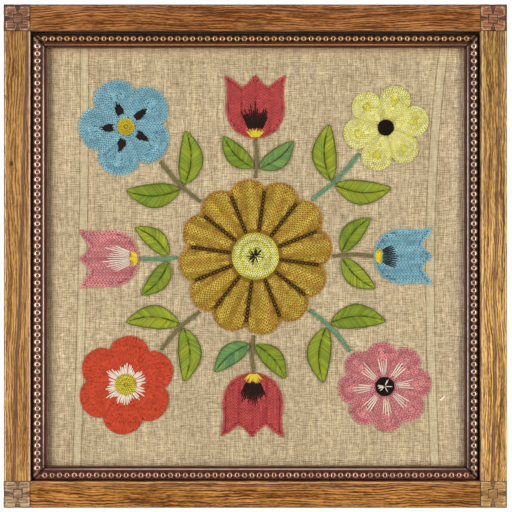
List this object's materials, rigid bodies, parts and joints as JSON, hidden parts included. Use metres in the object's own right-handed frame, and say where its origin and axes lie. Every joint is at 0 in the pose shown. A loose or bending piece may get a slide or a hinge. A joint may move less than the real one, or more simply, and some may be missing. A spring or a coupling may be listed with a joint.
{
  "type": "woolwork picture in an oak frame",
  "caption": "Square flower picture worked in coloured wool on plain linen, held in an oak frame with corner blocks and a dark beaded liner.",
  "frame": {"origin": "middle of the frame's back face, which lies on the surface", "axes": "+Z out of the picture's face, +Y towards its upper edge, +X towards its right edge"},
  "size_m": [0.508, 0.508, 0.022],
  "materials": {
    "oak": "varnished oak",
    "dark_wood": "dark stained and polished, rubbed reddish on the beads",
    "linen": "plain woven unbleached linen",
    "wool_gold": "wool yarn",
    "wool_yellow": "wool yarn",
    "wool_red": "wool yarn",
    "wool_crimson": "wool yarn",
    "wool_pink": "wool yarn",
    "wool_blue": "wool yarn",
    "wool_leaf": "wool yarn",
    "wool_stem": "wool yarn",
    "wool_dark": "wool yarn"
  },
  "bodies": {
    "root": {"bead_strip_bottom": "dark_wood", "bead_strip_left": "dark_wood", "bead_strip_right": "dark_wood", "bead_strip_top": "dark_wood", "block_bottom_left": "oak", "block_bottom_right": "oak", "block_top_left": "oak", "block_top_right": "oak", "blue_bloom": "wool_blue", "blue_heart": "wool_yellow", "gold_bloom": "wool_gold", "gold_heart": "wool_yellow", "leaf_a_by_blue_bloom": "wool_leaf", "leaf_a_by_pink_bloom": "wool_leaf", "leaf_a_by_red_bloom": "wool_leaf", "leaf_a_by_tulip_east": "wool_leaf", "leaf_a_by_tulip_north": "wool_leaf", "leaf_a_by_tulip_south": "wool_leaf", "leaf_a_by_tulip_west": "wool_leaf", "leaf_a_by_yellow_bloom": "wool_leaf", "leaf_b_by_blue_bloom": "wool_leaf", "leaf_b_by_pink_bloom": "wool_leaf", "leaf_b_by_red_bloom": "wool_leaf", "leaf_b_by_tulip_east": "wool_leaf", "leaf_b_by_tulip_north": "wool_leaf", "leaf_b_by_tulip_south": "wool_leaf", "leaf_b_by_tulip_west": "wool_leaf", "leaf_b_by_yellow_bloom": "wool_leaf", "linen_ground": "linen", "liner_bottom": "dark_wood", "liner_left": "dark_wood", "liner_right": "dark_wood", "liner_top": "dark_wood", "pink_bloom": "wool_pink", "pink_heart": "wool_dark", "rail_bottom": "oak", "rail_left": "oak", "rail_right": "oak", "rail_top": "oak", "red_bloom": "wool_red", "red_heart": "wool_yellow", "stem_to_blue_bloom": "wool_stem", "stem_to_pink_bloom": "wool_stem", "stem_to_red_bloom": "wool_stem", "stem_to_tulip_east": "wool_stem", "stem_to_tulip_north": "wool_stem", "stem_to_tulip_south": "wool_stem", "stem_to_tulip_west": "wool_stem", "stem_to_yellow_bloom": "wool_stem", "tulip_east": "wool_blue", "tulip_north": "wool_crimson", "tulip_south": "wool_crimson", "tulip_west": "wool_pink", "yellow_bloom": "wool_yellow", "yellow_heart": "wool_dark"}
  },
  "joints": []
}
